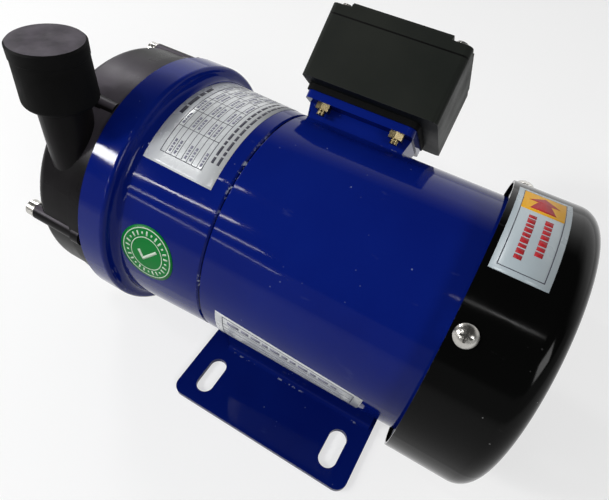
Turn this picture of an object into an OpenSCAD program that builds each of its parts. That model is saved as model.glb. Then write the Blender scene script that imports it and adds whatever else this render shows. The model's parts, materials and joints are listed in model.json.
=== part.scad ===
// Magnetic drive pump on a three phase motor, 0.12 kW class.
// Millimetres. X across (the near side of the photograph is +X), Y along the shaft
// toward the fan, Z up. The origin is the middle of the foot slots, on the floor.

/* [Motor] */
// Height of the shaft centre above the floor
shaft_h = 71; // [70.5:0.5:80]
// Outer radius of the motor shell
motor_r = 62; // [58:0.5:62.5]
// Length of the motor shell
motor_l = 107; // [100:1:124]

/* [Foot] */
// Slot pitch across the shaft
slot_px = 130; // [126:1:140]
// Slot pitch along the shaft
slot_py = 80; // [72:1:88]
// Slot width
slot_w = 10; // [8:0.5:11]
// Slot length
slot_l = 22; // [16:1:24]
// Thickness of the foot plate
foot_t = 3; // [2.5:0.5:4]

/* [Pump head] */
// Outer diameter of the inlet spigot
inlet_d = 33.2; // [31:0.2:36]
// Length of the inlet spigot
inlet_l = 26.6; // [20:0.2:32]
// Outer diameter of the outlet spigot
outlet_d = 26.4; // [24:0.2:27]
// Height of the outlet cap above the shaft
outlet_h = 92; // [90:0.5:100]
// Turn of the pump head about the shaft
head_a = 5; // [0:0.5:12]

/* [Terminal box] */
// Length of the terminal box along the shaft
box_l = 69.5; // [67:0.5:80]
// Width of the terminal box
box_w = 65; // [62:0.5:75]
// Depth of the terminal box with its lid
box_h = 38.5; // [35:0.5:48]

/* [Fan cover] */
// Length of the fan cover
cover_l = 39.5; // [38:0.5:50]

/* [Hidden] */
$fn = 64;

foot_w = slot_px + 36;
foot_l = slot_py + 29;
saddle_t = 3;
motor_gap = 0.5;
leg_x = motor_r - 20;
leg_t = 4;
leg_h = shaft_h - 40 - foot_t;
leg_f = 3;
shell_t = 3;
shell_ri = motor_r - shell_t;
flange_r = motor_r + 8;
cover_r = motor_r + 8;
cover_t = 1.2;
fit = 0.05;

// stations along the shaft: the head moves with the front seam, the tail with the rear seam
seam = -(motor_l - 20) / 2;
tail = seam + motor_l;
saddle_y0 = seam + 1.5;
saddle_y1 = foot_l / 2 - 2;
f0 = seam - 64.9;
f1 = seam - 49.3;
bolt_c = flange_r - 6;
bolt_a = 2.5;
bolt_r = 2.5;
boss_r = 4.5;
boss_y = f0 - 35;
short_i = 1;
short_y = f0 - 15;
pocket_r = flange_r - 12;
pocket_y = f0 - 5;
chamber_r = flange_r - 20;
chamber_y = f0 - 27.6;
casing_r = flange_r - 3.5;
rim_r = flange_r - 2.6;
face_y = f0 - 33;
front_y = f0 - 38;
imp_r = flange_r - 26;
out_x = 46.6;
out_y = f0 - 17.6;
neck_r = 11.4;
neck_z = shaft_h + 24;
cap_rt = outlet_d / 2 + 2.3;
cap_rb = outlet_d / 2 + 2.9;
cap_top = shaft_h + outlet_h;
cap_z = shaft_h + casing_r - 1.3;
spigot_top = cap_top - 4;
can_end = f0 + 32.4;
spindle_r = 6;
through_r = motor_r - 5.7;
core_y0 = seam + 25.5;
core_y1 = tail - 25.5;
b1 = seam - 13.5;
b2 = tail - 8;
bear_w = 11;
screw_y = tail + 4;
screw_a = 48.5;
cover_y0 = tail - 2;
cover_y1 = cover_y0 + cover_l;

// terminal box, in its own frame: Z out from the shaft, Y along the shaft
box_a = 48;
box_yc = seam + 30.15;
ped_z = motor_r + 6;
gas_z = ped_z + 4;
box_z = gas_z + 3;
lid_z = box_z + box_h - 7.5;
ped_y = -3.75;
ped_s = [for (x = [-17.5, 17.5], y = [-22.5, 17.5]) [x, y]];
lid_s = [for (x = [-1, 1], y = [-1, 1]) [x * (box_w / 2 - 6), y * (box_l / 2 - 6)]];
wire_y = -12;

module axis() translate([0, 0, shaft_h]) rotate([-90, 0, 0]) children();
module spun() axis() rotate_extrude() children();
module tube(ro, ri, y0, y1) axis() translate([0, 0, y0]) difference() {
    cylinder(r = ro, h = y1 - y0);
    translate([0, 0, -1]) cylinder(r = ri, h = y1 - y0 + 2);
}
module rod(r, y0, y1) axis() translate([0, 0, y0]) cylinder(r = r, h = y1 - y0);
module turn(a) axis() rotate([0, 0, -a]) children();
module ring_of(n, a0) for (i = [0 : n - 1]) turn(a0 + 360 * i / n) children();
module head() translate([0, 0, shaft_h]) rotate([0, -head_a, 0]) translate([0, 0, -shaft_h]) children();
module long_bolts() for (i = [0 : 5]) if (i != short_i) head() turn(bolt_a + 60 * i) translate([bolt_c, 0, 0])
    children();
module short_place() head() turn(bolt_a + 60 * short_i) translate([bolt_c, 0, 0]) children();
module outlet_place() head() translate([out_x, out_y, 0]) children();
module box_frame() translate([0, box_yc, shaft_h]) rotate([0, -box_a, 0]) children();
module rrect(w, l, r) {
    square([w - 2 * r, l], center = true);
    square([w, l - 2 * r], center = true);
    for (x = [-1, 1], y = [-1, 1]) translate([x * (w / 2 - r), y * (l / 2 - r)]) circle(r);
}
module slot2d(l, w) {
    square([l - w, w], center = true);
    for (s = [-1, 1]) translate([s * (l - w) / 2, 0]) circle(w / 2);
}

// foot

module foot_plate() color([0.03, 0.07, 0.4]) difference() {
    linear_extrude(foot_t) difference() {
        rrect(foot_w, foot_l, 6);
        for (x = [-1, 1], y = [-1, 1]) translate([x * slot_px / 2, y * slot_py / 2]) slot2d(slot_l, slot_w);
    }
    rod(motor_r + motor_gap, -foot_l, foot_l);
    rod(motor_r + saddle_t + motor_gap, saddle_y0 - motor_gap, saddle_y1 + motor_gap);
}

module foot_saddle() color([0.03, 0.07, 0.4]) translate([0, saddle_y1, 0]) rotate([90, 0, 0])
    linear_extrude(saddle_y1 - saddle_y0) difference() {
        union() {
            intersection() {
                translate([0, shaft_h]) circle(motor_r + saddle_t);
                translate([-leg_x - 1, -foot_t]) square([2 * leg_x + 2, leg_h + 2 * foot_t]);
            }
            for (s = [-1, 1]) {
                translate([s * leg_x - leg_t / 2, foot_t]) square([leg_t, leg_h]);
                difference() {
                    translate([s * (leg_x + 3.4) - 1.6, foot_t]) square([3.2, leg_f]);
                    translate([s * (leg_x + 5), foot_t + leg_f]) circle(leg_f);
                }
            }
        }
        translate([0, shaft_h]) circle(motor_r);
    }

// motor

module motor_shell() color([0.03, 0.07, 0.4]) difference() {
    spun() polygon([[shell_ri, seam], [motor_r - 1, seam], [motor_r, seam + 1], [motor_r, tail - 0.6],
        [motor_r - 0.6, tail], [shell_ri, tail]]);
    box_frame() translate([0, wire_y, motor_r - 20]) cylinder(r = 7, h = 40);
}

module stator_core() color([0.45, 0.45, 0.47]) difference() {
    tube(shell_ri, 34, core_y0, core_y1);
    ring_of(12, 15) translate([30, -2.5, core_y0 - 1]) cube([16, 5, core_y1 - core_y0 + 2]);
    ring_of(4, 0) translate([through_r, 0, core_y0 - 1]) cylinder(r = 3, h = core_y1 - core_y0 + 2);
}

module stator_windings() color([0.72, 0.36, 0.16]) {
    tube(motor_r - 10, 36, core_y0 - 13, core_y0);
    tube(motor_r - 10, 36, core_y1, core_y1 + 13);
    ring_of(12, 15) translate([37, -2.4, core_y0 - 1]) cube([8.9, 4.8, core_y1 - core_y0 + 2]);
}

module through_bolts() color([0.7, 0.7, 0.72]) ring_of(4, 0) translate([through_r, 0, 0]) {
    translate([0, 0, seam - 8.5]) cylinder(r = 2.5, h = tail + 3.5 - seam + 8.5 + 0.5);
    translate([0, 0, tail + 3.5]) cylinder(r = 4.4, h = 3.5, $fn = 6);
}

module adapter_bracket() color([0.03, 0.07, 0.4]) difference() {
    spun() union() {
        translate([motor_r - 6, f0]) square([11.5, f1 - f0]);
        translate([motor_r - 6, f0]) square([14, f1 - f0 - 2.5]);
        translate([flange_r - 2.5, f1 - 2.5]) circle(2.5);
        translate([flange_r - 18, f0]) square([8, 4.4]);
        difference() {
            translate([motor_r, f1 - 1]) square([5.4, 5]);
            translate([motor_r + 5.4, f1 + 4]) circle(4);
        }
        polygon([[motor_r - 6, f0], [motor_r + 1.5, f0], [motor_r + 1.5, f1], [motor_r, seam - 1],
            [motor_r - 1, seam], [shell_ri, seam], [shell_ri, seam + 5], [motor_r - 9, seam + 5],
            [motor_r - 9, seam], [17.5, seam], [17.5, b1], [12.5, b1], [12.5, b1 - 2.5],
            [motor_r - 6, b1 - 2.5]]);
    }
    head() ring_of(6, bolt_a) translate([bolt_c, 0, f0 - 1]) cylinder(r = bolt_r + fit, h = 13.4);
    ring_of(4, 0) translate([through_r, 0, seam - 8.5]) cylinder(r = 2.5 + fit, h = 20);
}

module rear_end_shield() color([0.6, 0.61, 0.63]) difference() {
    union() {
        spun() polygon([[12.5, b2 + 13.5], [22, b2 + 13.5], [22, tail + 3.5], [motor_r, tail + 3.5],
            [motor_r, tail], [shell_ri, tail], [shell_ri, tail - 5], [motor_r - 8, tail - 5],
            [motor_r - 8, tail - 1.5], [22, tail - 1.5], [22, b2 - 1.5], [17.5, b2 - 1.5],
            [17.5, b2 + bear_w], [12.5, b2 + bear_w]]);
        intersection() {
            ring_of(4, screw_a) translate([motor_r - 6, -7, tail]) cube([20, 14, 9]);
            rod(cover_r - cover_t, tail - 1, tail + 10);
        }
    }
    ring_of(4, 0) translate([through_r, 0, tail - 6]) cylinder(r = 2.5 + fit, h = 20);
    ring_of(4, screw_a) translate([motor_r - 4, 0, screw_y]) rotate([0, 90, 0])
        cylinder(r = 2.5 + fit, h = 20);
}

module outer_ring(y) spun() polygon([[17.5, y], [17.5, y + bear_w], [10.7, y + bear_w],
    [10.7, y + bear_w - 0.8], [14.5, y + bear_w - 0.8], [14.5, y + 0.8], [10.7, y + 0.8], [10.7, y]]);

module bearing_outer_rings() color([0.75, 0.75, 0.77]) {
    outer_ring(b1);
    outer_ring(b2);
}

module bearing_inner_rings() color([0.75, 0.75, 0.77]) {
    tube(10.3, 7.5, b1, b1 + bear_w);
    tube(10.3, 7.5, b2, b2 + bear_w);
}

module motor_shaft() color([0.7, 0.7, 0.72]) difference() {
    spun() polygon([[0, b1 - 13.5], [7, b1 - 13.5], [7, b1 - 0.5], [7.5, b1 - 0.5], [7.5, b1 + bear_w],
        [9, b1 + bear_w], [9, b2], [7.5, b2], [7.5, b2 + 11.5], [6, b2 + 11.5], [6, b2 + 36.5],
        [5.4, b2 + 36.5], [5.4, b2 + 37.7], [6, b2 + 37.7], [6, b2 + 39.5], [0, b2 + 39.5]]);
    rod(2.5 + fit, b1 - 14.5, b1 + 1.5);
}

module rotor_core() color([0.45, 0.45, 0.47]) tube(33.6, 9, core_y0, core_y1);

module rotor_end_rings() color([0.78, 0.78, 0.8]) {
    tube(32.5, 18, core_y0 - 6, core_y0);
    tube(32.5, 18, core_y1, core_y1 + 6);
}

// fan and cover

module cowl2d(r, y0, y1, c) {
    translate([0, y0]) square([r - c, y1 - y0]);
    translate([0, y0]) square([r, y1 - c - y0]);
    translate([r - c, y1 - c]) circle(c);
}

module fan_cover() color([0.03, 0.03, 0.03]) difference() {
    spun() intersection() {
        difference() {
            cowl2d(cover_r, cover_y0, cover_y1, 10);
            cowl2d(cover_r - cover_t, cover_y0 - 5, cover_y1 - cover_t, 10 - cover_t);
        }
        translate([0, cover_y0 - 1]) square([cover_r + 5, cover_l + 5]);
    }
    difference() {
        for (r = [14 : 9 : 50]) tube(r + 5, r, cover_y1 - 3, cover_y1 + 3);
        ring_of(6, 0) translate([0, -2.5, cover_y1 - 5]) cube([60, 5, 10]);
    }
    ring_of(4, screw_a) translate([cover_r - 6, 0, screw_y]) rotate([0, 90, 0])
        cylinder(r = 2.5 + fit, h = 12);
}

module cover_screws() color([0.75, 0.74, 0.7]) ring_of(4, screw_a) translate([cover_r, 0, screw_y])
    rotate([0, 90, 0]) difference() {
        union() {
            translate([0, 0, -9]) cylinder(r = 2.5, h = 9.2);
            rotate_extrude() intersection() {
                square([4.6, 3.2]);
                translate([0, -2.6]) circle(5.8);
            }
        }
        for (a = [0, 90]) rotate([0, 0, a]) translate([-2.4, -0.5, 1.8]) cube([4.8, 1, 3]);
    }

module cooling_fan() color([0.08, 0.08, 0.09]) difference() {
    union() {
        rod(13, b2 + 17, b2 + 36.5);
        rod(57, b2 + 18.5, b2 + 20.5);
        ring_of(9, 0) translate([11, -1.2, b2 + 20]) cube([45, 2.4, 14]);
    }
    rod(6, b2 + 10, b2 + 40);
}

module fan_clip() color([0.4, 0.4, 0.42]) tube(8.6, 5.4, b2 + 36.5, b2 + 37.7);

// magnetic drive

module drive_hub() color([0.5, 0.5, 0.52]) spun() polygon([[7, b1 - 13.5], [37.2, b1 - 13.5],
    [37.2, f0 + 3.9], [42, f0 + 3.9], [42, b1 - 7.5], [14, b1 - 7.5], [14, b1 - 3.5], [7, b1 - 3.5]]);

module drive_magnets() color([0.25, 0.25, 0.27]) difference() {
    tube(37.2, 31.2, f0 + 4.4, f0 + 28.4);
    ring_of(8, 0) translate([28, -0.75, f0]) cube([12, 1.5, 40]);
}

module hub_screw() color([0.7, 0.7, 0.72]) {
    rod(2.5, b1 - 14, b1 - 1);
    rod(9, b1 - 14.7, b1 - 13.5);
    axis() translate([0, 0, b1 - 17.7]) cylinder(r = 4.6, h = 3.1, $fn = 6);
}

// wet end

module rear_casing() color([0.1, 0.1, 0.11]) spun() polygon([[0, can_end], [30, can_end], [30, f0],
    [pocket_r, f0], [pocket_r, pocket_y], [27.5, pocket_y], [27.5, can_end - 3], [9, can_end - 3],
    [9, can_end - 9], [spindle_r, can_end - 9], [spindle_r, can_end - 3.5], [0, can_end - 3.5]]);

module spindle() color([0.93, 0.92, 0.88]) rod(spindle_r, chamber_y - 6, can_end - 3.5);

module thrust_rings() color([0.93, 0.92, 0.88]) {
    tube(9, spindle_r, chamber_y, chamber_y + 7);
    tube(9, spindle_r, can_end - 10, can_end - 9);
}

module mouth_ring() color([0.85, 0.84, 0.8]) tube(23.4, 20.4, chamber_y, chamber_y + 5);

module impeller() color([0.15, 0.15, 0.17]) difference() {
    union() {
        rod(imp_r, f0 - 9, f0 - 6.4);
        rod(12, f0 - 18, f0 - 6.4);
        intersection() {
            tube(imp_r, 15, f0 - 19, f0 - 8);
            ring_of(6, 0) translate([0, 26, f0 - 19]) linear_extrude(11) intersection() {
                difference() {
                    circle(27.1);
                    circle(24.9);
                }
                translate([0, -60]) square([60, 120]);
            }
        }
    }
    rod(9, f0 - 20, f0);
}

module impeller_shroud() color([0.15, 0.15, 0.17]) {
    tube(imp_r, 16.5, f0 - 21.6, f0 - 19);
    tube(20, 16.5, f0 - 26.1, f0 - 21);
}

module magnet_capsule() color([0.12, 0.12, 0.13]) spun() polygon([[9, f0 - 6.4], [17, f0 - 6.4],
    [17, can_end - 7], [24.5, can_end - 7], [24.5, f0 - 6.4], [26.6, f0 - 6.4], [26.6, can_end - 4.3],
    [10, can_end - 4.3], [10, can_end - 10.6], [9, can_end - 10.6]]);

module inner_magnets() color([0.25, 0.25, 0.27]) tube(24.5, 17, f0 - 6.4, can_end - 7);

module impeller_bush() color([0.2, 0.2, 0.2]) tube(9, spindle_r + 0.08, f0 - 20, can_end - 10.6);

module casing_outer() {
    spun() {
        translate([0, f0 - 10]) square([rim_r, 10]);
        translate([0, face_y + 6]) square([casing_r, f0 - face_y - 6]);
        translate([0, face_y]) square([casing_r - 6, 20]);
        translate([casing_r - 6, face_y + 6]) circle(6);
        translate([0, front_y]) square([inlet_d / 2 + 7, 10]);
        translate([0, front_y - inlet_l + 1.5]) square([inlet_d / 2, inlet_l]);
        polygon([[0, front_y - inlet_l], [inlet_d / 2 - 1.5, front_y - inlet_l],
            [inlet_d / 2, front_y - inlet_l + 1.5], [0, front_y - inlet_l + 1.5]]);
        translate([0, front_y - 3]) square([inlet_d / 2 + 4, 5]);
    }
    long_bolts() {
        translate([0, 0, boss_y]) cylinder(r = boss_r, h = f0 - 3 - boss_y);
        translate([0, 0, f0 - 8.5]) cylinder(r = boss_r + 0.8, h = 5);
    }
    short_place() translate([0, 0, short_y]) cylinder(r = boss_r, h = f0 - 3 - short_y);
    // raised pad round the outlet
    head() intersection() {
        tube(rim_r - 0.3, flange_r - 14, f0 - 20, f0 - 8);
        turn(21) translate([0, -70, f0 - 30]) cube([90, 70, 40]);
        turn(70) translate([0, 0, f0 - 30]) cube([90, 70, 40]);
    }
    outlet_place() {
        translate([0, 0, neck_z]) cylinder(r = neck_r, h = cap_z + 2 - neck_z);
        translate([0, 0, cap_z + 2]) cylinder(d = outlet_d, h = spigot_top - cap_z - 3);
        translate([0, 0, spigot_top - 1]) cylinder(d1 = outlet_d, d2 = outlet_d - 2, h = 1);
    }
}

module front_casing() color([0.07, 0.07, 0.08]) difference() {
    union() {
        difference() {
            casing_outer();
            head() axis() translate([3, 2, chamber_y]) cylinder(r = chamber_r, h = pocket_y - chamber_y + 1);
            rod(pocket_r + fit, pocket_y, f0 + 1);
            rod(18, chamber_y - 9, chamber_y + 1);
            rod(12.5, front_y - inlet_l - 1, front_y - 4.1);
            rod(12, front_y - 5, chamber_y - 8);
            outlet_place() {
                translate([0, 0, neck_z]) cylinder(r = 9, h = cap_top - neck_z);
                translate([0, 0, cap_z + 1.5]) cylinder(r = 9.5, h = cap_top - cap_z);
            }
            long_bolts() translate([0, 0, boss_y - 1]) cylinder(r = bolt_r + 0.2, h = f0 - boss_y + 2);
            short_place() {
                translate([0, 0, short_y - 1]) cylinder(r = bolt_r + 0.2, h = f0 - short_y + 2);
                translate([0, 0, short_y - 3.6]) cylinder(r = boss_r + 0.3, h = 3.6);
            }
            tube(flange_r - 12.8, flange_r - 15.8, pocket_y - 2, pocket_y + 0.5);
        }
        rod(9, chamber_y - 7.5, chamber_y);
        ring_of(3, 30) translate([8, -1.5, chamber_y - 8.5]) cube([10.5, 3, 8]);
    }
    rod(spindle_r, chamber_y - 6, chamber_y + 1);
}

module casing_o_ring() color([0.05, 0.05, 0.05]) spun() translate([flange_r - 14.3, pocket_y - 1]) circle(1);

module casing_bolts() color([0.72, 0.72, 0.74]) long_bolts() {
    translate([0, 0, boss_y - 1.7]) cylinder(r = bolt_r, h = f0 + 12 - boss_y + 1.7);
    difference() {
        translate([0, 0, boss_y - 5.2]) cylinder(r = 4.2, h = 4);
        translate([0, 0, boss_y - 6]) cylinder(r = 2.3, h = 3, $fn = 6);
    }
}

module casing_short_bolt() color([0.72, 0.72, 0.74]) short_place() {
    translate([0, 0, short_y - 0.5]) cylinder(r = bolt_r, h = f0 + 12 - short_y + 0.5);
    difference() {
        translate([0, 0, short_y - 3.2]) cylinder(r = 4.2, h = 3.2);
        translate([0, 0, short_y - 4]) cylinder(r = 2.3, h = 2.4, $fn = 6);
    }
}

module casing_washers() color([0.75, 0.75, 0.77]) long_bolts() translate([0, 0, boss_y - 1.2]) difference() {
    cylinder(r = boss_r, h = 1.2);
    translate([0, 0, -1]) cylinder(r = bolt_r + fit, h = 4);
}

module outlet_cap() color([0.04, 0.04, 0.04]) outlet_place() rotate_extrude() difference() {
    union() {
        polygon([[0, cap_z], [cap_rb - 2.5, cap_z], [cap_rb, cap_z + 2.5], [cap_rt, cap_top - 6],
            [cap_rt + 0.3, cap_top - 5.7], [cap_rt + 0.3, cap_top - 0.8], [cap_rt - 0.5, cap_top],
            [0, cap_top]]);
        translate([cap_rb - 2.5, cap_z + 2.5]) circle(2.5);
    }
    translate([-1, cap_z - 1]) square([outlet_d / 2 + fit + 1, spigot_top + 1.5 - cap_z]);
}

// terminal box

module terminal_pedestal() color([0.03, 0.07, 0.4]) difference() {
    box_frame() union() {
        translate([0, ped_y, ped_z]) linear_extrude(4) rrect(44, 58.6, 4);
        translate([-13, ped_y, 0]) rotate([90, 0, 90]) linear_extrude(26) polygon([[-28.5, ped_z + 1],
            [28.5, ped_z + 1], [25, motor_r - 8], [-25, motor_r - 8]]);
    }
    rod(motor_r, -300, 300);
    box_frame() {
        translate([0, wire_y, 0]) cylinder(r = 7, h = 200);
        for (p = ped_s) translate([p[0], p[1], 0]) cylinder(r = 2 + fit, h = 200);
    }
}

module terminal_gasket() color([0.03, 0.03, 0.03]) box_frame() translate([0, 0, gas_z]) linear_extrude(3)
    difference() {
        translate([0, ped_y]) rrect(46, 60, 4);
        translate([0, wire_y]) circle(7);
        for (p = ped_s) translate(p) circle(2 + fit);
    }

module terminal_box() color([0.06, 0.06, 0.065]) box_frame() difference() {
    union() {
        difference() {
            translate([0, 0, box_z]) linear_extrude(lid_z - box_z) rrect(box_w, box_l, 3);
            translate([0, 0, box_z + 3]) linear_extrude(lid_z - box_z) rrect(box_w - 5, box_l - 5, 1.5);
        }
        for (p = lid_s) translate([p[0] - 5, p[1] - 5, box_z + 1]) cube([10, 10, lid_z - box_z - 1]);
    }
    for (p = lid_s) translate([p[0], p[1], box_z + 8]) cylinder(r = 1.5 + fit, h = 100);
    for (p = ped_s) translate([p[0], p[1], 0]) cylinder(r = 2 + fit, h = 200);
    translate([0, wire_y, 0]) cylinder(r = 7, h = box_z + 10);
    translate([-box_w / 2 - 1, 0, box_z + 15]) rotate([0, 90, 0]) cylinder(r = 8, h = 10);
}

module terminal_lid() color([0.06, 0.06, 0.065]) box_frame() translate([0, 0, lid_z]) difference() {
    union() {
        linear_extrude(6.5) rrect(box_w, box_l, 3);
        linear_extrude(7.5) rrect(box_w - 2, box_l - 2, 2);
    }
    translate([0, 0, -1]) linear_extrude(5) {
        square([box_w - 8, box_l - 26], center = true);
        square([box_w - 26, box_l - 8], center = true);
    }
    for (x = [-1, 1], y = [-1, 1]) translate([x * box_w / 2, y * box_l / 2, 5]) translate([-10, -10, 0])
        cube([20, 20, 10]);
    for (p = lid_s) translate([p[0], p[1], -1]) cylinder(r = 1.5 + fit, h = 10);
}

module lid_screws() color([0.75, 0.74, 0.7]) box_frame() for (p = lid_s) translate([p[0], p[1], lid_z + 5])
    difference() {
        union() {
            cylinder(r = 2.9, h = 2.2);
            translate([0, 0, -16]) cylinder(r = 1.5, h = 16.5);
        }
        for (a = [0, 90]) rotate([0, 0, a]) translate([-1.6, -0.35, 1.2]) cube([3.2, 0.7, 2]);
    }

module pedestal_screws() color([0.78, 0.7, 0.45]) box_frame() for (p = ped_s)
    translate([p[0], p[1], box_z + 3]) difference() {
        union() {
            cylinder(r = 3.8, h = 2.6);
            translate([0, 0, ped_z - box_z - 8.6]) cylinder(r = 2, h = box_z + 9 - ped_z);
        }
        translate([-2, -0.45, 1.6]) cube([4, 0.9, 3]);
    }

module pedestal_nuts() color([0.78, 0.7, 0.45]) box_frame() for (p = ped_s)
    translate([p[0], p[1], ped_z - 3.2]) difference() {
        cylinder(r = 4, h = 3.2, $fn = 6);
        translate([0, 0, -1]) cylinder(r = 2 + fit, h = 6);
    }

module terminal_block() color([0.85, 0.84, 0.78]) box_frame() translate([0, 3.5, box_z + 3]) difference() {
    translate([-22, -6.5, 0]) cube([44, 13, 11]);
    for (i = [-2 : 2]) translate([i * 8.4, 0, 4]) cylinder(r = 2.6, h = 20);
    for (i = [-2 : 2]) translate([i * 8.4 - 2, -10, 5]) cube([4, 20, 3.5]);
}

module cable_gland() color([0.05, 0.05, 0.05]) box_frame() translate([-box_w / 2, 0, box_z + 15])
    rotate([0, -90, 0]) difference() {
        union() {
            cylinder(r = 11, h = 5, $fn = 6);
            translate([0, 0, -8]) cylinder(r = 7.95, h = 9);
            translate([0, 0, 4]) cylinder(r = 9.2, h = 9);
            translate([0, 0, 12.9]) cylinder(r1 = 9.2, r2 = 6.6, h = 4);
        }
        translate([0, 0, -10]) cylinder(r = 4.5, h = 40);
    }

module gland_locknut() color([0.05, 0.05, 0.05]) box_frame() translate([-box_w / 2, 0, box_z + 15])
    rotate([0, -90, 0]) translate([0, 0, -6.5]) difference() {
        cylinder(r = 10.4, h = 4, $fn = 6);
        translate([0, 0, -1]) cylinder(r = 7.95 + fit, h = 6);
    }

foot_plate();
foot_saddle();
motor_shell();
stator_core();
stator_windings();
through_bolts();
adapter_bracket();
rear_end_shield();
bearing_outer_rings();
fan_cover();
cover_screws();
front_casing();
casing_bolts();
casing_short_bolt();
casing_washers();
rear_casing();
casing_o_ring();
spindle();
thrust_rings();
mouth_ring();
terminal_pedestal();
terminal_gasket();
terminal_box();
terminal_lid();
lid_screws();
pedestal_screws();
pedestal_nuts();
terminal_block();
cable_gland();
gland_locknut();
motor_shaft();
rotor_core();
rotor_end_rings();
bearing_inner_rings();
drive_hub();
drive_magnets();
hub_screw();
cooling_fan();
fan_clip();
impeller();
impeller_shroud();
magnet_capsule();
inner_magnets();
impeller_bush();
outlet_cap();
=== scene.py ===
"""The looks of a magnetic drive pump: finishes, labels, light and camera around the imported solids.

Sizes are in millimetres and angles in degrees. The shaft runs along Y, and an angle about it is
counted from +X towards +Z.
"""

import json
import math

import bmesh
import bpy
from mathutils import Euler, Matrix, Vector


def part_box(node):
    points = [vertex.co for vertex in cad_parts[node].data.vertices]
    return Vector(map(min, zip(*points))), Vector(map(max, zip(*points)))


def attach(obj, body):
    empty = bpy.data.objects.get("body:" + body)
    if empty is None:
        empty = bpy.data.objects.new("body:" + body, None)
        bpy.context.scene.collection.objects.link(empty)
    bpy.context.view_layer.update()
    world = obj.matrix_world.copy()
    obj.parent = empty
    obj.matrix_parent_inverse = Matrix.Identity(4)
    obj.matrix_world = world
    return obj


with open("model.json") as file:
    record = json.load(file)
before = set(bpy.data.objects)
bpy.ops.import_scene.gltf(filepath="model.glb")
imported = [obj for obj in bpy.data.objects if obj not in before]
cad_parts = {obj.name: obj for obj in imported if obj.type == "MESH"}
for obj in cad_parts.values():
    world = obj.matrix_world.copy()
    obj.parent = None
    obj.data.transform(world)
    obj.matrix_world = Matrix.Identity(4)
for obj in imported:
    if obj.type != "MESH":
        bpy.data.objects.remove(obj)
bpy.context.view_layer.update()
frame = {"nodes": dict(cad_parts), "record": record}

MM = 0.001


def node_box(name):
    """The lowest and highest corner of a solid, in millimetres."""
    low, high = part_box(name)
    return low / MM, high / MM


# Places taken from the frame
shell_low, shell_high = node_box("motor_shell")
MOTOR_R = shell_high.x
SHAFT_Z = shell_high.z - MOTOR_R
SEAM_Y = shell_low.y
TAIL_Y = shell_high.y
COVER_R = node_box("fan_cover")[1].x


def make_object(name, form, materials):
    """A new object from a bmesh, which is used up."""
    mesh = bpy.data.meshes.new(name)
    form.to_mesh(mesh)
    form.free()
    for material in materials:
        mesh.materials.append(material)
    made = bpy.data.objects.new(name, mesh)
    bpy.context.scene.collection.objects.link(made)
    return made


# Finishes


class Nodes:
    """Shorthand for the nodes of a material or a world."""

    def __init__(self, owner):
        owner.use_nodes = True
        self.tree = owner.node_tree

    def feed(self, socket, value):
        if isinstance(value, bpy.types.NodeSocket):
            self.tree.links.new(value, socket)
        else:
            socket.default_value = value

    def add(self, kind, output, inputs, **settings):
        node = self.tree.nodes.new("ShaderNode" + kind)
        for key, value in settings.items():
            setattr(node, key, value)
        for key, value in inputs.items():
            self.feed(node.inputs[key], value)
        return node.outputs[output]

    def math(self, operation, a, b=0.0):
        return self.add("Math", 0, {0: a, 1: b}, operation=operation)

    def levels(self, value, low, high, to_low=0.0, to_high=1.0):
        inputs = {0: value, 1: low, 2: high, 3: to_low, 4: to_high}
        return self.add("MapRange", 0, inputs)

    def seen(self):
        """1 for what the camera, a mirror or glass sees, 0 for light on its way to a surface."""
        rays = self.tree.nodes.new("ShaderNodeLightPath").outputs
        mirrored = self.math("MAXIMUM", rays["Is Glossy Ray"], rays["Is Transmission Ray"])
        return self.math("MAXIMUM", rays["Is Camera Ray"], mirrored)


class Finish(Nodes):
    """A material. Lengths are in millimetres on the object."""

    def __init__(self, name):
        self.material = bpy.data.materials.new(name)
        super().__init__(self.material)
        self.shader = self.tree.nodes["Principled BSDF"]
        self.place = self.add("TexCoord", "Object", {})

    def stretched(self, stretch):
        return self.add("VectorMath", 0, {0: self.place, 1: stretch}, operation="MULTIPLY")

    def noise(self, size, detail=2.0, stretch=(1, 1, 1)):
        inputs = {"Vector": self.stretched(stretch), "Scale": 1 / (size * MM), "Detail": detail}
        return self.add("TexNoise", 0, inputs)

    def from_shaft(self):
        """The distance from the shaft's axis, in metres."""
        middle = (0, 0, SHAFT_Z * MM)
        across = self.add("VectorMath", 0, {0: self.place, 1: middle}, operation="SUBTRACT")
        flat = self.add("VectorMath", 0, {0: across, 1: (1, 0, 1)}, operation="MULTIPLY")
        return self.add("VectorMath", "Value", {0: flat}, operation="LENGTH")

    def facing(self, way):
        """The cosine between the surface's normal and a direction, in the piece's own frame."""
        normal = self.add("TexCoord", "Normal", {})
        return self.add("VectorMath", "Value", {0: normal, 1: way}, operation="DOT_PRODUCT")

    def spots(self, size):
        return self.add("TexVoronoi", "Distance", {"Vector": self.place, "Scale": 1 / (size * MM)})

    def waves(self, size, direction):
        inputs = {"Vector": self.place, "Scale": math.pi / 10 / (size * MM)}
        return self.add("TexWave", 1, inputs, bands_direction=direction)

    def mix(self, factor, a, b):
        return self.add("Mix", 2, {0: factor, 6: a, 7: b}, data_type="RGBA")

    def edges(self, radius):
        """Near 1 where the surface turns within the radius, 0 on flat stretches."""
        soft = self.add("Bevel", 0, {"Radius": radius * MM}, samples=4)
        true = self.add("NewGeometry", "Normal", {})
        agree = self.add("VectorMath", "Value", {0: soft, 1: true}, operation="DOT_PRODUCT")
        return self.levels(agree, 0.99, 0.86)

    def bump(self, height, depth, strength=1.0):
        inputs = {"Height": height, "Distance": depth * MM, "Strength": strength}
        self.feed(self.shader.inputs["Normal"], self.add("Bump", 0, inputs))

    def set(self, **inputs):
        for key, value in inputs.items():
            self.feed(self.shader.inputs[key.replace("_", " ")], value)
        return self.material


def rgb(r, g, b):
    return (r, g, b, 1.0)


def grey(value):
    return rgb(value, value, value)


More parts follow.
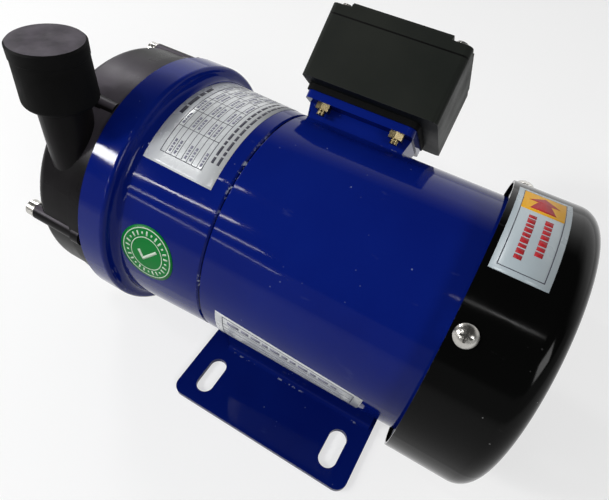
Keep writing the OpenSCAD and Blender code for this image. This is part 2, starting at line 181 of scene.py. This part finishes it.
PALE_CHIP = rgb(0.42, 0.45, 0.52)
BLUE_DUST = rgb(0.20, 0.24, 0.40)
GREY_DUST = grey(0.20)
SEAM_DARK = grey(0.001)
# Pale mauve: the rubber's bloom on its tops, and painted sheen with dust on the casing's tops
MAUVE_SHEEN_AND_BLOOM = rgb(0.094, 0.083, 0.099)
RUBBED_GREY = grey(0.05)
UP = Vector((0, 0, 1))
# The casing's painted top sheen is strongest on faces turned this way, in the piece's own frame
SHOULDER = Vector((0.3, 0, 1)).normalized()

# The seam between motor and adapter: each pair is where its mark ends and where it is full
SEAM_LINE = (0.3 * MM, 0.12 * MM)
SEAM_CHIPS = (1.1 * MM, 0.5 * MM)
NEAR_SHELL = (4 * MM, 3 * MM)


def enamel(name, deep, light, dust, chips, gleam, rough):
    """Gloss paint with orange peel, dust specks, faint scuffs and a dark, chipped seam."""
    n = Finish(name)
    cloud = n.levels(n.noise(70, 3), 0.35, 0.65)
    colour = n.mix(cloud, deep, light)
    thin_out = n.levels(n.noise(38), 0.5, 0.62)
    speck = n.math("MULTIPLY", n.levels(n.spots(7), 0.060, 0.030), thin_out)
    scuff = n.levels(n.noise(9, 6, (1, 0.4, 1)), 0.68, 0.82, 0.0, 0.16)
    colour = n.mix(n.math("MAXIMUM", n.math("MULTIPLY", speck, 0.7), scuff), colour, dust)
    y = n.add("SeparateXYZ", "Y", {0: n.place})
    off_seam = n.math("ABSOLUTE", n.math("SUBTRACT", y, SEAM_Y * MM))
    off_shell = n.math("ABSOLUTE", n.math("SUBTRACT", n.from_shaft(), MOTOR_R * MM))
    on_shell = n.levels(off_shell, *NEAR_SHELL)
    seam = n.math("MULTIPLY", on_shell, n.levels(off_seam, *SEAM_LINE))
    colour = n.mix(seam, colour, SEAM_DARK)
    beside_seam = n.math("MULTIPLY", on_shell, n.levels(off_seam, *SEAM_CHIPS))
    in_patches = n.levels(n.noise(26, 1), 0.52, 0.60)
    broken = n.math("MULTIPLY", n.levels(n.noise(2.4, 4), 0.54, 0.60), in_patches)
    worn = n.math("MAXIMUM", n.math("MULTIPLY", n.edges(0.5), 0.4), beside_seam)
    colour = n.mix(n.math("MULTIPLY", n.math("MULTIPLY", worn, broken), chips), colour, PALE_CHIP)
    n.bump(n.noise(2.6, 1), 0.02, 0.35)
    gloss = n.levels(n.noise(22, 4), 0.3, 0.75, rough, rough + 0.07)
    roughness = n.math("MAXIMUM", gloss, n.math("MULTIPLY", scuff, 1.6))
    return n.set(Base_Color=colour, Roughness=roughness, Specular_IOR_Level=gleam)


# The terminal box leans out from the motor, and its lid starts at this distance along its own axis
BOX_LEAN = math.radians(48)
BOX_OUT = Vector((-math.sin(BOX_LEAN), 0, math.cos(BOX_LEAN)))
LID_START = min(BOX_OUT.dot(v.co) for v in frame["nodes"]["terminal_lid"].data.vertices)
LID_LINE = (0.5 * MM, 0.25 * MM)


def moulded(name, dark, light, grain, depth, rough, gleam, pale_top=0.0):
    """Grained plastic with rubbed edges, dirt in the lid's joint, and on faces turned up a pale mark
    that is painted sheen together with settled dust.
    """
    n = Finish(name)
    colour = n.mix(n.levels(n.noise(30, 4), 0.3, 0.7), dark, light)
    rubbed = n.math("MULTIPLY", n.edges(0.6), n.levels(n.noise(5, 3), 0.4, 0.7, 0.1, 0.5))
    colour = n.mix(rubbed, colour, RUBBED_GREY)
    outward = n.add("VectorMath", "Value", {0: n.place, 1: BOX_OUT}, operation="DOT_PRODUCT")
    off_lid = n.math("ABSOLUTE", n.math("SUBTRACT", outward, LID_START))
    colour = n.mix(n.levels(off_lid, *LID_LINE), colour, SEAM_DARK)
    # Painted sheen: the tops are lightened for the light they catch, in patches that also stand for
    # settled dust
    patchy = n.levels(n.noise(14, 4), 0.2, 0.6, 0.6 * pale_top, pale_top)
    top_sheen_and_dust = n.math("MULTIPLY", n.levels(n.facing(SHOULDER), 0.85, 0.99), patchy)
    colour = n.mix(top_sheen_and_dust, colour, MAUVE_SHEEN_AND_BLOOM)
    n.bump(n.noise(grain, 3), depth, 0.6)
    roughness = n.levels(n.noise(16, 3), 0.3, 0.7, rough - 0.06, rough + 0.08)
    return n.set(Base_Color=colour, Roughness=roughness, Specular_IOR_Level=gleam)


def rubber():
    """Dull rubber whose level tops carry a rubbed, cloudy bloom."""
    n = Finish("black_rubber")
    cloud = n.levels(n.noise(7, 5, (1, 1, 0.2)), 0.3, 0.72)
    pale_top = n.math("MULTIPLY", n.levels(n.facing(UP), 0.8, 0.98), n.levels(cloud, 0, 1, 0.5, 1))
    colour = n.mix(n.noise(12, 3), grey(0.003), grey(0.006))
    colour = n.mix(pale_top, colour, MAUVE_SHEEN_AND_BLOOM)
    n.bump(n.noise(0.8, 4), 0.06, 0.5)
    roughness = n.levels(n.noise(9, 3), 0.3, 0.7, 0.50, 0.70)
    return n.set(Base_Color=colour, Roughness=roughness, Specular_IOR_Level=0.05)


def metal(name, colour, tarnish, rough, brush=(1, 1, 1)):
    """Bare or plated metal with tarnish clouds and fine working marks."""
    n = Finish(name)
    clouds = n.levels(n.noise(6, 4), 0.42, 0.75)
    n.bump(n.noise(0.5, 3, brush), 0.01, 0.4)
    roughness = n.levels(n.noise(1.5, 3, brush), 0.3, 0.7, rough - 0.05, rough + 0.10)
    return n.set(Base_Color=n.mix(clouds, colour, tarnish), Metallic=1.0, Roughness=roughness)


def layered(name, light, dark, pitch, direction, metallic):
    """A stack of thin sheets or wires, seen as fine bands."""
    n = Finish(name)
    band = n.waves(pitch, direction)
    n.bump(band, 0.08, 0.8)
    roughness = n.levels(n.noise(3), 0.3, 0.7, 0.3, 0.5)
    return n.set(Base_Color=n.mix(band, dark, light), Metallic=metallic, Roughness=roughness)


def plain(name, colour, other, rough, gleam=0.5):
    """A smooth hard material with a faint mottle."""
    n = Finish(name)
    n.bump(n.noise(0.7, 2), 0.01, 0.3)
    colour = n.mix(n.noise(9, 4), colour, other)
    roughness = n.levels(n.noise(8, 3), 0.3, 0.7, rough - 0.04, rough + 0.08)
    return n.set(Base_Color=colour, Roughness=roughness, Specular_IOR_Level=gleam)


BLUE_DEEP, BLUE_LIGHT = rgb(0.0020, 0.0090, 0.140), rgb(0.0028, 0.0125, 0.168)
# The foot's blue is the motor's blue darkened, as painted shade for the light the foot loses under
# the motor
FOOT_SHADED_DEEP, FOOT_SHADED_LIGHT = rgb(0.0013, 0.0058, 0.088), rgb(0.0018, 0.0080, 0.105)
BLACK_DEEP, BLACK_LIGHT = grey(0.0012), rgb(0.0020, 0.0021, 0.0020)
CASING_DEEP, CASING_LIGHT = grey(0.004), rgb(0.008, 0.007, 0.008)
BOX_DEEP, BOX_LIGHT = rgb(0.011, 0.013, 0.011), rgb(0.016, 0.018, 0.015)
COPPER_LIGHT, COPPER_DARK = rgb(0.62, 0.24, 0.09), rgb(0.28, 0.09, 0.03)
STEEL_LIGHT, STEEL_DULL = rgb(0.55, 0.55, 0.56), rgb(0.42, 0.41, 0.40)
ALONG_SHAFT = (1, 12, 1)

blue_enamel = enamel("blue_enamel", BLUE_DEEP, BLUE_LIGHT, BLUE_DUST, 0.9, 0.12, 0.04)
# Painted shade: the foot gets a darker copy of the blue enamel
shaded_foot_enamel = enamel("shaded_foot_enamel", FOOT_SHADED_DEEP, FOOT_SHADED_LIGHT, BLUE_DUST, 0.9, 0.12, 0.04)
black_enamel = enamel("black_enamel", BLACK_DEEP, BLACK_LIGHT, GREY_DUST, 0.2, 0.09, 0.08)
# Only the front casing gets the painted top sheen with dust; the last number is its strength
casing_plastic = moulded("casing_plastic", CASING_DEEP, CASING_LIGHT, 0.9, 0.02, 0.32, 0.055, 0.9)
inner_plastic = moulded("inner_plastic", CASING_DEEP, CASING_LIGHT, 0.9, 0.02, 0.32, 0.055)
box_plastic = moulded("box_plastic", BOX_DEEP, BOX_LIGHT, 0.45, 0.05, 0.5, 0.08)
black_rubber = rubber()
nickel = metal("nickel", rgb(0.54, 0.53, 0.50), rgb(0.36, 0.34, 0.31), 0.20)
yellow_zinc = metal("yellow_zinc", rgb(0.27, 0.22, 0.12), rgb(0.16, 0.12, 0.06), 0.26)
ground_steel = metal("ground_steel", STEEL_LIGHT, STEEL_DULL, 0.24, ALONG_SHAFT)
cast_metal = metal("cast_aluminium", rgb(0.58, 0.59, 0.61), rgb(0.44, 0.45, 0.47), 0.42)
lamination = layered("lamination", grey(0.30), grey(0.12), 0.65, "Y", 0.9)
copper_wire = layered("copper_wire", COPPER_LIGHT, COPPER_DARK, 0.8, "DIAGONAL", 0.8)
magnet = metal("magnet", grey(0.22), grey(0.14), 0.36)
ceramic = plain("ceramic", rgb(0.84, 0.82, 0.77), rgb(0.78, 0.76, 0.70), 0.14)
white_plastic = plain("white_plastic", rgb(0.74, 0.72, 0.64), rgb(0.68, 0.66, 0.58), 0.42)
carbon = plain("carbon", grey(0.03), grey(0.05), 0.40)
paper = plain("label_paper", rgb(0.66, 0.68, 0.69), rgb(0.60, 0.62, 0.64), 0.24, 0.8)
# The turning label's sheet is darker and bluer than the paper: partly a grey film's own tone, partly
# painted shade for its up-facing place on the fan cover
shaded_label_film = plain("shaded_label_film", rgb(0.40, 0.46, 0.49), rgb(0.36, 0.42, 0.45), 0.30, 0.6)
dark_ink = plain("dark_ink", rgb(0.03, 0.03, 0.05), rgb(0.05, 0.05, 0.07), 0.42)
grey_ink = plain("grey_ink", rgb(0.20, 0.20, 0.27), rgb(0.26, 0.26, 0.33), 0.42)
red_ink = plain("red_ink", rgb(0.42, 0.012, 0.02), rgb(0.36, 0.010, 0.016), 0.40, 0.2)
yellow_ink = plain("yellow_ink", rgb(0.74, 0.37, 0.003), rgb(0.66, 0.33, 0.003), 0.40, 0.2)
green_film = plain("green_film", rgb(0.001, 0.155, 0.024), rgb(0.002, 0.19, 0.032), 0.30, 0.12)
pale_ink = plain("pale_ink", rgb(0.60, 0.72, 0.58), rgb(0.54, 0.66, 0.52), 0.40)

FINISHES = [
    (blue_enamel, "motor_shell adapter_bracket terminal_pedestal"),
    (shaded_foot_enamel, "foot_plate foot_saddle"),
    (black_enamel, "fan_cover"),
    (casing_plastic, "front_casing"),
    (inner_plastic, "rear_casing cooling_fan impeller impeller_shroud magnet_capsule"),
    (box_plastic, "terminal_box terminal_lid cable_gland gland_locknut"),
    (black_rubber, "outlet_cap terminal_gasket casing_o_ring"),
    (nickel, "cover_screws casing_bolts casing_short_bolt casing_washers hub_screw lid_screws"),
    (yellow_zinc, "pedestal_screws pedestal_nuts"),
    (ground_steel, "motor_shaft drive_hub fan_clip through_bolts"),
    (ground_steel, "bearing_outer_rings bearing_inner_rings"),
    (cast_metal, "rear_end_shield rotor_end_rings"),
    (lamination, "stator_core rotor_core"),
    (copper_wire, "stator_windings"),
    (magnet, "drive_magnets inner_magnets"),
    (ceramic, "spindle thrust_rings mouth_ring"),
    (white_plastic, "terminal_block"),
    (carbon, "impeller_bush"),
]


def paint_solids():
    for material, names in FINISHES:
        for name in names.split():
            for holder in frame["nodes"][name].material_slots:
                holder.material = material


# Labels

PAPER_LIFT = 0.15
INK_LIFT = 0.19
TOP_INK_LIFT = 0.22
SHEET = 0.12
FINE_STEP = 1.6
LONG_STEP = 12
RING_STEP = 2
RING_SIDES = 72


def steps_for(length, step):
    return max(1, math.ceil(abs(length) / step))


class Label:
    """A printed sheet wrapped round the shaft's axis.

    It is drawn flat: s runs round the axis and t along it.
    """

    def __init__(self, name, radius_at, angle, y, turn=0.0):
        self.name = name
        self.radius_at = radius_at
        self.angle = math.radians(angle)
        self.y = y
        self.turn = math.radians(turn)
        self.form = bmesh.new()
        self.materials = []

    def point(self, s, t, lift):
        c, d = math.cos(self.turn), math.sin(self.turn)
        round_way, along = s * c + t * d, t * c - s * d
        y = self.y + along
        radius = self.radius_at(y)
        a = self.angle + round_way / radius
        reach = radius + lift
        return Vector((reach * math.cos(a), y, SHAFT_Z + reach * math.sin(a))) * MM

    def sheet(self, place, steps_u, steps_v, lift, material):
        """A grid of faces. place(u, v) gives s and t for u and v from 0 to 1."""
        if material not in self.materials:
            self.materials.append(material)
        index = self.materials.index(material)
        rows = []
        for i in range(steps_u + 1):
            cells = [place(i / steps_u, j / steps_v) for j in range(steps_v + 1)]
            rows.append([self.form.verts.new(self.point(s, t, lift)) for s, t in cells])
        for low, high in zip(rows, rows[1:]):
            for j in range(steps_v):
                face = self.form.faces.new((low[j], low[j + 1], high[j + 1], high[j]))
                face.material_index = index

    def block(self, s0, s1, t0, t1, lift, material):
        def place(u, v):
            return s0 + u * (s1 - s0), t0 + v * (t1 - t0)
        steps_u = steps_for(s1 - s0, FINE_STEP)
        steps_v = steps_for(t1 - t0, LONG_STEP)
        self.sheet(place, steps_u, steps_v, lift, material)

    def taper(self, s0, s1, half0, half1, lift, material):
        """A stretch along s whose half width goes from half0 to half1."""
        def place(u, v):
            half = half0 + u * (half1 - half0)
            return s0 + u * (s1 - s0), (2 * v - 1) * half
        self.sheet(place, steps_for(s1 - s0, FINE_STEP), 2, lift, material)

    def ring(self, r0, r1, lift, material):
        def place(u, v):
            r = r0 + v * (r1 - r0)
            return r * math.cos(u * math.tau), r * math.sin(u * math.tau)
        self.sheet(place, RING_SIDES, steps_for(r1 - r0, RING_STEP), lift, material)

    def stroke(self, start, end, width, lift, material):
        a, b = Vector(start), Vector(end)
        side = (b - a).normalized().orthogonal() * width / 2
        def place(u, v):
            p = a.lerp(b, u) + side * (2 * v - 1)
            return p.x, p.y
        self.sheet(place, steps_for((b - a).length, FINE_STEP), 1, lift, material)

    def border(self, s0, s1, t0, t1, width, material):
        self.block(s0, s1, t0, t0 + width, INK_LIFT, material)
        self.block(s0, s1, t1 - width, t1, INK_LIFT, material)
        self.block(s0, s0 + width, t0 + width, t1 - width, INK_LIFT, material)
        self.block(s1 - width, s1, t0 + width, t1 - width, INK_LIFT, material)

    def dashes(self, s0, s1, t, width, lengths, gap, material):
        """A run of short blocks in place of a printed line, from s0 towards s1."""
        way = 1 if s1 > s0 else -1
        s, i = s0, 0
        while (s1 - s) * way > lengths[i % len(lengths)]:
            length = lengths[i % len(lengths)]
            self.block(s, s + way * length, t - width / 2, t + width / 2, TOP_INK_LIFT, material)
            s += way * (length + gap)
            i += 1

    def finish(self):
        """Turns the drawing into a thin sheet that rides on the pump's body."""
        bmesh.ops.remove_doubles(self.form, verts=self.form.verts, dist=1e-7)
        bmesh.ops.recalc_face_normals(self.form, faces=self.form.faces)
        for face in self.form.faces:
            face.smooth = True
            centre = face.calc_center_median()
            out = Vector((centre.x, 0, centre.z - SHAFT_Z * MM))
            if face.normal.dot(out) < 0:
                face.normal_flip()
        piece = make_object(self.name, self.form, self.materials)
        thick = piece.modifiers.new("thickness", "SOLIDIFY")
        thick.thickness = SHEET * MM
        thick.offset = -1
        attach(piece, "pump_body")


ADAPTER_FLARE = 1.5
ADAPTER_STRAIGHT = 1
ADAPTER_CONE = 48.3


def adapter_radius(y):
    """The adapter widens a little from the seam towards the flange."""
    past_seam = max(0.0, SEAM_Y - ADAPTER_STRAIGHT - y)
    return MOTOR_R + ADAPTER_FLARE * past_seam / ADAPTER_CONE


def nameplate():
    half_s, half_t = 41, 18.75
    label = Label("nameplate", adapter_radius, 92.5, SEAM_Y - 26.25)
    label.block(-half_s, half_s, -half_t, half_t, PAPER_LIFT, paper)
    table_s, table_t = (-35.2, 36), (-12.5, 10.3)
    rows, columns = 8, (-20, -9, 2, 13, 24)
    rule = 0.13
    words, word_end = (1.6, 0.9, 1.3), 9.5
    label.border(*table_s, *table_t, 0.35, dark_ink)
    step = (table_t[1] - table_t[0]) / rows
    for i in range(1, rows):
        t = table_t[0] + i * step
        label.block(*table_s, t - rule, t + rule, INK_LIFT, dark_ink)
    for s in columns:
        label.block(s - rule, s + rule, *table_t, TOP_INK_LIFT, dark_ink)
    starts = (table_s[0],) + columns
    for i in range(rows):
        t = table_t[0] + (i + 0.5) * step
        for k, s in enumerate(starts):
            if (i + 2 * k) % 3:
                label.dashes(s + 1.5, s + word_end, t, 1.1, words, 0.5, grey_ink)
    label.dashes(-14, 18, -15.6, 1.8, (5, 7.5, 3.5), 1.2, dark_ink)
    label.dashes(-30, 34, 12.8, 1.3, (3.2, 5.4, 2.2, 4.1), 0.9, dark_ink)
    label.dashes(-30, 34, 15.8, 1.3, (4.4, 2.1, 5.2, 3.0), 0.9, dark_ink)
    label.finish()


def round_sticker():
    sticker_r, tick_width = 15.0, 1.5
    label = Label("round_sticker", adapter_radius, 16, SEAM_Y - 29.5, -10)
    label.ring(0.0, sticker_r, PAPER_LIFT, green_film)
    for r, width in ((13.2, 0.5), (8.6, 0.45)):
        label.ring(r, r + width, INK_LIFT, pale_ink)
    marks = 26
    for i in range(marks):
        a = math.tau * i / marks
        near, far = (9.8, 12.2) if i % 3 else (10.4, 11.6)
        start = (near * math.cos(a), near * math.sin(a))
        end = (far * math.cos(a), far * math.sin(a))
        label.stroke(start, end, 0.9, INK_LIFT, pale_ink)
    corner, long_start, long_end = (-3.6, -1.2), (-4.1, -1.7), (4.4, 4.8)
    label.stroke((0.2, -4.6), corner, tick_width, INK_LIFT, pale_ink)
    label.stroke(long_start, long_end, tick_width, TOP_INK_LIFT, pale_ink)
    label.finish()


def turning_label():
    half_s, half_t = 26.6, 11
    label = Label("turning_label", lambda y: COVER_R, 91.75, TAIL_Y + 11.5)
    label.block(-half_s, half_s, -half_t, half_t, PAPER_LIFT, shaded_label_film)
    in_s, in_t, rule = half_s - 2.4, half_t - 2.2, 0.35
    label.border(-in_s, in_s, -in_t, in_t, rule, dark_ink)
    panel_s, tail_s, neck_s, tip_s = 7.5, 9.5, 16.0, 21.5
    label.block(panel_s, in_s - rule, -in_t + rule, in_t - rule, INK_LIFT, yellow_ink)
    label.taper(tail_s, neck_s, 5.2, 2.6, TOP_INK_LIFT, red_ink)
    label.taper(neck_s, tip_s, 6.3, 0.15, TOP_INK_LIFT, red_ink)
    words_s, letter, gap = 4.5, 3.0, 0.6
    label.dashes(words_s, -17, 3.4, letter, (2.8, 1.9, 2.1, 2.3), gap, red_ink)
    label.dashes(words_s, -20, -3.0, letter, (1.9, 2.6, 1.7, 2.3), gap, red_ink)
    label.finish()


def motor_plate():
    half_s, half_t = 15, 39.3
    label = Label("motor_plate", lambda y: MOTOR_R, -13.2, SEAM_Y + 47.8, -4.6)
    label.block(-half_s, half_s, -half_t, half_t, PAPER_LIFT, paper)
    in_s, in_t = half_s - 1.8, half_t - 4
    label.border(-in_s, in_s, -in_t, in_t, 0.4, dark_ink)
    lines, first_line, line_pitch, rule = 5, 6, 4.2, 0.15
    for i in range(lines):
        s = in_s - first_line - i * line_pitch
        label.block(s - rule, s + rule, -in_t, in_t, INK_LIFT, dark_ink)
    title, word_gap = (4.2, 6.0, 3.1, 5.0, 6.6), 1.3
    title_s = (in_s - 4.4, in_s - 2.0)
    t = -in_t + 3
    while t < in_t - 8:
        # The place along the line picks the word's length, so the words come in a mixed order
        length = title[int(t * 7) % len(title)]
        label.block(*title_s, t, t + length, TOP_INK_LIFT, grey_ink)
        t += length + word_gap
    label.finish()


# Inlet thread

THREAD_PITCH = 2.31
THREAD_STEPS = 48
THREAD_ROOT = -0.3
THREAD_LOW = -0.2
THREAD_CREST = 0.7
THREAD_FADE = 24
ROOT_HALF = 0.44 * THREAD_PITCH
CREST_HALF = 0.10 * THREAD_PITCH


def inlet_thread():
    """A moulded pipe thread that winds round the inlet spigot and fades out at both ends."""
    mount = next(m for m in frame["record"]["mounts"] if m["name"] == "inlet_thread")
    radius, length = mount["dims"]["r_mm"], mount["dims"]["length_mm"] - THREAD_PITCH
    start = mount["pos_m"][1] / MM - length / 2
    rows = round(length / THREAD_PITCH * THREAD_STEPS)
    form = bmesh.new()
    rings = []
    for i in range(rows + 1):
        angle = math.tau * i / THREAD_STEPS
        rise = min(1.0, i / THREAD_FADE, (rows - i) / THREAD_FADE)
        crest = THREAD_LOW + rise * (THREAD_CREST - THREAD_LOW)
        flank = [(-ROOT_HALF, THREAD_ROOT), (-CREST_HALF, crest)]
        profile = flank + [(-along, lift) for along, lift in reversed(flank)]
        ring = []
        for along, lift in profile:
            reach = radius + lift
            y = start + i / THREAD_STEPS * THREAD_PITCH + along
            spot = Vector((reach * math.cos(angle), y, SHAFT_Z + reach * math.sin(angle)))
            ring.append(form.verts.new(spot * MM))
        rings.append(ring)
    for low, high in zip(rings, rings[1:]):
        for j in range(len(low)):
            k = (j + 1) % len(low)
            form.faces.new((low[j], low[k], high[k], high[j]))
    form.faces.new(rings[0])
    form.faces.new(rings[-1])
    bmesh.ops.recalc_face_normals(form, faces=form.faces)
    piece = make_object("inlet_thread", form, [casing_plastic])
    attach(piece, "pump_body")


# Stage, light and camera

CAMERA_AT = (153.19, 50.64, 269.99)
CAMERA_TURN = (39.247, -4.149, 119.794)
CAMERA_LENS = 28.5275
CAMERA_SENSOR = 36.0


def make_camera():
    data = bpy.data.cameras.new("camera")
    data.sensor_fit = "HORIZONTAL"
    data.sensor_width = CAMERA_SENSOR
    data.lens = CAMERA_LENS
    data.clip_start = 0.01
    camera = bpy.data.objects.new("camera", data)
    camera.location = Vector(CAMERA_AT) * MM
    camera.rotation_euler = Euler([math.radians(a) for a in CAMERA_TURN])
    bpy.context.scene.collection.objects.link(camera)
    bpy.context.scene.camera = camera


OBJECT_MIDDLE = Vector((0, 0, 90))


def lamp(name, start, end, width, power):
    """A rectangular lamp whose long side runs from start to end, turned to the object."""
    a, b = Vector(start), Vector(end)
    middle = (a + b) / 2
    along = (b - a).normalized()
    back = middle - OBJECT_MIDDLE
    back = (back - along * back.dot(along)).normalized()
    data = bpy.data.lights.new(name, "AREA")
    data.shape = "RECTANGLE"
    data.size, data.size_y = (b - a).length * MM, width * MM
    data.energy = power
    light = bpy.data.objects.new(name, data)
    light.location = middle * MM
    light.rotation_euler = Matrix((along, back.cross(along), back)).transposed().to_euler()
    bpy.context.scene.collection.objects.link(light)


def make_lights():
    """Two soft keys beyond the ends of the shaft, and the bright slits that the gloss mirrors."""
    lamp("key_fan_end", (450, 1200, 900), (1000, 1000, 900), 450, 8.2)
    lamp("key_pump_end", (350, -1450, 780), (900, -1350, 780), 450, 6)
    lamp("far_pane", (-770, -1180, 970), (-560, -1310, 970), 200, 4.8)
    lamp("window_pane", (685, -995, 840), (785, -865, 840), 150, 7.2)
    lamp("window_top", (340, -870, 1140), (400, -560, 1200), 36, 1.3)
    lamp("window_high", (820, -870, 790), (936, -560, 906), 32, 1.9)
    lamp("window_middle", (950, -870, 604), (1126, -446, 684), 24, 0.8)
    lamp("window_low", (1010, -870, 500), (1246, -384, 459), 24, 0.5)
    lamp("ceiling_slit", (530, 100, 1220), (530, 340, 1200), 14, 0.24)


# A pair is the X or Z part of a unit direction where the wall or horizon ends, and where it is full
WALL_PALE = 1.3
WALL_ACROSS = (0.0, -0.6)
WALL_HEIGHT = (0.75, 0.45)
ROOM_DARK = 0.07
HORIZON = 0.40
HORIZON_HEIGHT = (0.34, 0.30)


def make_world():
    """A dim room, a pale far wall, and a pale horizon that only camera, mirrors and glass see."""
    world = bpy.data.worlds.new("room")
    n = Nodes(world)
    way = n.add("TexCoord", "Generated", {})
    across = n.add("SeparateXYZ", "X", {0: way})
    height = n.add("SeparateXYZ", "Z", {0: way})
    far_side = n.levels(across, *WALL_ACROSS)
    wall = n.math("MULTIPLY", far_side, n.levels(height, *WALL_HEIGHT))
    room = n.levels(wall, 0.0, 1.0, ROOM_DARK, WALL_PALE)
    horizon = n.math("MULTIPLY", n.seen(), n.levels(height, *HORIZON_HEIGHT, 0.0, HORIZON))
    background = n.tree.nodes["Background"]
    background.inputs["Color"].default_value = grey(1.0)
    n.feed(background.inputs["Strength"], n.math("MAXIMUM", room, horizon))
    bpy.context.scene.world = world


# The floor is grey to the light that it throws back, and white to the camera and to mirrors
FLOOR_HALF = 4000
FLOOR_CELLS = 8
FLOOR_GREY = 0.28
FLOOR_SEEN = 0.9
FLOOR_GLOW = 0.6


def make_floor():
    """A pale sheet that the camera and reflections see as white, with the shadow kept."""
    n = Finish("floor_white")
    mottle = n.levels(n.noise(400, 2), 0.3, 0.7, FLOOR_GREY - 0.02, FLOOR_GREY)
    seen = n.seen()
    white = n.math("MAXIMUM", mottle, n.math("MULTIPLY", seen, FLOOR_SEEN))
    n.set(Base_Color=n.add("CombineColor", 0, {0: white, 1: white, 2: white}), Roughness=0.9)
    glow = n.add("Emission", 0, {"Color": grey(1.0), "Strength": 1.0})
    share = n.math("MULTIPLY", seen, FLOOR_GLOW)
    mixed = n.add("MixShader", 0, {0: share, 1: n.shader.outputs[0], 2: glow})
    n.feed(n.tree.nodes["Material Output"].inputs["Surface"], mixed)
    form = bmesh.new()
    cells = {"x_segments": FLOOR_CELLS, "y_segments": FLOOR_CELLS}
    bmesh.ops.create_grid(form, size=FLOOR_HALF * MM, **cells)
    floor = make_object("floor", form, [n.material])


bpy.context.scene.view_settings.view_transform = "Standard"
make_camera()
make_lights()
make_world()
make_floor()
paint_solids()
nameplate()
round_sticker()
turning_label()
motor_plate()
inlet_thread()
